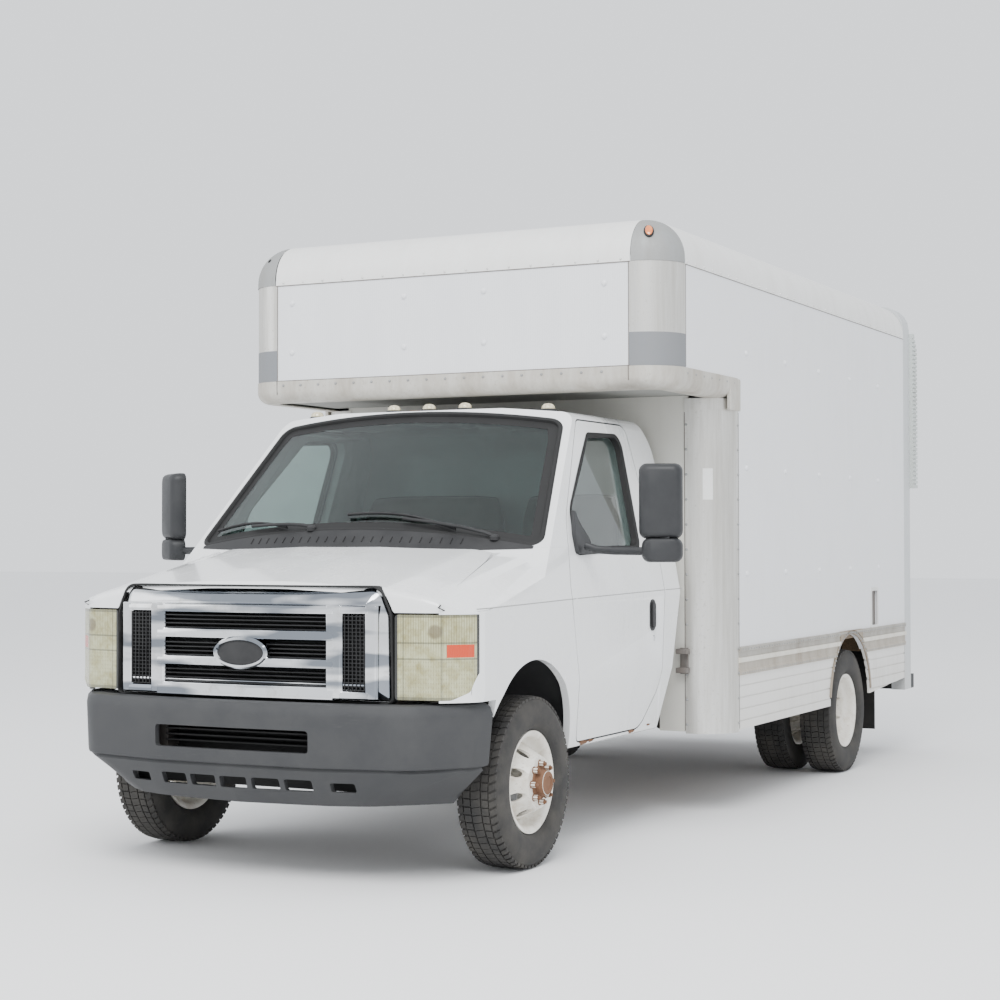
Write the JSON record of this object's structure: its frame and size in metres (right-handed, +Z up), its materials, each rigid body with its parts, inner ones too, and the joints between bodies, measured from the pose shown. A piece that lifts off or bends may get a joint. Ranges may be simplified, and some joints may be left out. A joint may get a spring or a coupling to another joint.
{
  "type": "box truck",
  "caption": "Van-nosed box truck with a cab-over attic on its cargo body, opening cab doors and bonnet, steered front wheels and twin rear wheels.",
  "frame": {"origin": "on the ground under the middle of the truck's length and width", "axes": "+X to the truck's left, +Y towards the rear, +Z up"},
  "size_m": [2.892, 6.405, 2.975],
  "materials": {
    "frame_paint": "satin",
    "cast_metal": "rough",
    "exhaust_steel": "rusty",
    "cab_paint": "gloss",
    "black_plastic": "grained",
    "bumper_plastic": "grained",
    "glass": "tinted",
    "chrome": "polished",
    "lamp_lens": "yellowed",
    "lamp_amber": "clear",
    "seat_cloth": "woven",
    "dash_plastic": "grained",
    "panel_white": "semi-gloss",
    "bare_aluminium": "weathered",
    "deck_wood": "worn",
    "post_steel": "worn",
    "guard_metal": "ribbed",
    "rubber": "matte",
    "wheel_paint": "rust-stained",
    "tyre": "worn"
  },
  "bodies": {
    "chassis": {"frame_rails": "frame_paint", "engine_block": "cast_metal", "front_axle": "frame_paint", "rear_axle": "frame_paint", "drive_shaft": "cast_metal", "exhaust": "exhaust_steel", "fuel_tank": "black_plastic", "cab_shell": "cab_paint", "fenders": "cab_paint", "wheel_wells": "black_plastic", "windscreen": "glass", "grille": "chrome", "headlights": "lamp_lens", "front_bumper": "bumper_plastic", "seats": "seat_cloth", "dashboard": "dash_plastic", "steering_wheel": "black_plastic", "box_floor": "deck_wood", "box_side_walls": "panel_white", "box_front_walls": "panel_white", "box_roof": "panel_white", "box_rails": "bare_aluminium", "front_corners": "bare_aluminium", "side_skirts": "panel_white", "rear_frame": "post_steel", "rear_door": "panel_white", "corner_guards": "guard_metal", "rear_bumper": "black_plastic", "mud_flaps": "rubber", "marker_lamps": "lamp_amber"},
    "hood_lid": {"hood": "cab_paint"},
    "left_door": {"door_left": "cab_paint", "door_glass_left": "glass", "mirror_left": "black_plastic"},
    "right_door": {"door_right": "cab_paint", "door_glass_right": "glass", "mirror_right": "black_plastic"},
    "left_knuckle": {"knuckle_left": "cast_metal"},
    "right_knuckle": {"knuckle_right": "cast_metal"},
    "front_left_wheel": {"front_wheel_left": "wheel_paint", "front_tyre_left": "tyre"},
    "front_right_wheel": {"front_wheel_right": "wheel_paint", "front_tyre_right": "tyre"},
    "rear_left_wheels": {"rear_wheels_left": "wheel_paint", "rear_tyres_left": "tyre"},
    "rear_right_wheels": {"rear_wheels_right": "wheel_paint", "rear_tyres_right": "tyre"}
  },
  "joints": [
    {"name": "steer_left", "type": "hinge", "parent": "chassis", "child": "left_knuckle", "pos_m": [0.8, -2.3175, 0.372], "axis": [0, 0, 1], "range_deg": [-30, 30]},
    {"name": "steer_right", "type": "hinge", "parent": "chassis", "child": "right_knuckle", "pos_m": [-0.8, -2.3175, 0.372], "axis": [0, 0, 1], "range_deg": [-30, 30]},
    {"name": "spin_front_left", "type": "hinge", "parent": "left_knuckle", "child": "front_left_wheel", "pos_m": [0.885, -2.3175, 0.372], "axis": [1, 0, 0], "continuous": true},
    {"name": "spin_front_right", "type": "hinge", "parent": "right_knuckle", "child": "front_right_wheel", "pos_m": [-0.885, -2.3175, 0.372], "axis": [1, 0, 0], "continuous": true},
    {"name": "spin_rear_left", "type": "hinge", "parent": "chassis", "child": "rear_left_wheels", "pos_m": [0.933, 1.6945, 0.372], "axis": [1, 0, 0], "continuous": true},
    {"name": "spin_rear_right", "type": "hinge", "parent": "chassis", "child": "rear_right_wheels", "pos_m": [-0.933, 1.6945, 0.372], "axis": [1, 0, 0], "continuous": true},
    {"name": "door_left_hinge", "type": "hinge", "parent": "chassis", "child": "left_door", "pos_m": [1.008, -1.9875, 1.1], "axis": [0, 0, 1], "range_deg": [-68, 0]},
    {"name": "door_right_hinge", "type": "hinge", "parent": "chassis", "child": "right_door", "pos_m": [-1.008, -1.9875, 1.1], "axis": [0, 0, 1], "range_deg": [0, 68]},
    {"name": "hood_hinge", "type": "hinge", "parent": "chassis", "child": "hood_lid", "pos_m": [0, -2.1675, 1.385], "axis": [1, 0, 0], "range_deg": [-50, 0]}
  ],
  "couplings": [
    {"joint": "steer_right", "follows": "steer_left", "ratio": 1}
  ]
}
